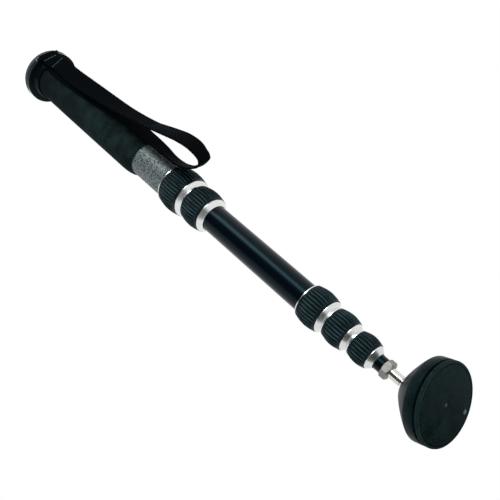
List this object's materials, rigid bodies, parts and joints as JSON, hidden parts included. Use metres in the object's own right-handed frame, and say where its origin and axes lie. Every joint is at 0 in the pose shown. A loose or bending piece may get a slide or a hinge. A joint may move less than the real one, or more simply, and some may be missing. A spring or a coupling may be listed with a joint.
{
  "type": "camera monopod",
  "caption": "Telescopic camera monopod with twist-lock collars, foam grip, webbing wrist strap and a wide rubber foot on a ball joint.",
  "frame": {"origin": "axis of the camera screw in the plane of the camera face", "axes": "+Z along the tubes, out of the camera face; +X towards the wrist strap; the foot is at -Z"},
  "size_m": [0.0823, 0.06, 0.5333],
  "materials": {
    "platform_rubber": "matte",
    "black_enamel": "gloss",
    "steel": "satin",
    "satin_aluminium": "satin",
    "webbing": "woven",
    "foam": "closed-cell foam",
    "hammered_grey": "hammered",
    "black_anodised": "gloss black anodised",
    "nickel": "nickel plated",
    "chrome_steel": "polished",
    "nylon": "natural",
    "foot_rubber": "satin",
    "pad_rubber": "worn",
    "ring_rubber": "satin"
  },
  "bodies": {
    "upper": {"platform_face": "platform_rubber", "platform_disc": "black_enamel", "camera_screw": "steel", "head_collar": "black_enamel", "head_plug": "satin_aluminium", "strap_bar": "steel", "foam_grip": "foam", "tube_1": "hammered_grey", "ferrule_1": "satin_aluminium", "collet_1": "nylon"},
    "strap": {"wrist_strap": "webbing"},
    "lock_1": {"lock_nut_1": "satin_aluminium", "lock_grip_1": "ring_rubber"},
    "lock_2": {"lock_nut_2": "satin_aluminium", "lock_grip_2": "ring_rubber"},
    "lock_3": {"lock_nut_3": "satin_aluminium", "lock_grip_3": "ring_rubber"},
    "lock_4": {"lock_nut_4": "satin_aluminium", "lock_grip_4": "ring_rubber"},
    "lock_5": {"lock_nut_5": "satin_aluminium", "lock_grip_5": "ring_rubber"},
    "section_2": {"tube_2": "black_anodised", "guide_2": "nylon", "ferrule_2": "satin_aluminium", "collet_2": "nylon"},
    "section_3": {"tube_3": "black_anodised", "guide_3": "nylon", "ferrule_3": "satin_aluminium", "collet_3": "nylon"},
    "section_4": {"tube_4": "black_anodised", "guide_4": "nylon", "ferrule_4": "satin_aluminium", "collet_4": "nylon"},
    "section_5": {"tube_5": "black_anodised", "guide_5": "nylon", "ferrule_5": "satin_aluminium", "collet_5": "nylon"},
    "section_6": {"tube_6": "black_anodised", "guide_6": "nylon", "end_plug": "black_anodised", "stem_nut": "nickel"},
    "foot_stem": {"foot_stem": "chrome_steel"},
    "foot": {"socket_cup": "nylon", "socket_keeper": "satin_aluminium", "foot_bell": "foot_rubber", "foot_pad": "pad_rubber", "pad_rivet": "steel"}
  },
  "joints": [
    {"name": "section_2_slide", "type": "slide", "parent": "upper", "child": "section_2", "axis": [0, 0, -1], "range_m": [0, 0.173]},
    {"name": "section_3_slide", "type": "slide", "parent": "section_2", "child": "section_3", "axis": [0, 0, -1], "range_m": [-0.112, 0.087]},
    {"name": "section_4_slide", "type": "slide", "parent": "section_3", "child": "section_4", "axis": [0, 0, -1], "range_m": [0, 0.224]},
    {"name": "section_5_slide", "type": "slide", "parent": "section_4", "child": "section_5", "axis": [0, 0, -1], "range_m": [0, 0.247]},
    {"name": "section_6_slide", "type": "slide", "parent": "section_5", "child": "section_6", "axis": [0, 0, -1], "range_m": [0, 0.269]},
    {"name": "lock_1_twist", "type": "hinge", "parent": "upper", "child": "lock_1", "pos_m": [0, 0, -0.2152], "axis": [0, 0, 1], "range_deg": [0, 120]},
    {"name": "lock_2_twist", "type": "hinge", "parent": "section_2", "child": "lock_2", "pos_m": [0, 0, -0.2435], "axis": [0, 0, 1], "range_deg": [0, 120]},
    {"name": "lock_3_twist", "type": "hinge", "parent": "section_3", "child": "lock_3", "pos_m": [0, 0, -0.3823], "axis": [0, 0, 1], "range_deg": [0, 120]},
    {"name": "lock_4_twist", "type": "hinge", "parent": "section_4", "child": "lock_4", "pos_m": [0, 0, -0.4076], "axis": [0, 0, 1], "range_deg": [0, 120]},
    {"name": "lock_5_twist", "type": "hinge", "parent": "section_5", "child": "lock_5", "pos_m": [0, 0, -0.4314], "axis": [0, 0, 1], "range_deg": [0, 120]},
    {"name": "strap_swing", "type": "hinge", "parent": "upper", "child": "strap", "pos_m": [0.02535, -0.00356, -0.008], "axis": [-0.1392, -0.9903, 0], "range_deg": [0, 110]},
    {"name": "foot_swivel", "type": "hinge", "parent": "section_6", "child": "foot_stem", "pos_m": [0, 0, -0.4869], "axis": [0, 0, 1], "continuous": true},
    {"name": "foot_tilt", "type": "hinge", "parent": "foot_stem", "child": "foot", "pos_m": [0, 0, -0.4869], "axis": [0, -1, 0], "range_deg": [-61.8, 4.2]}
  ]
}
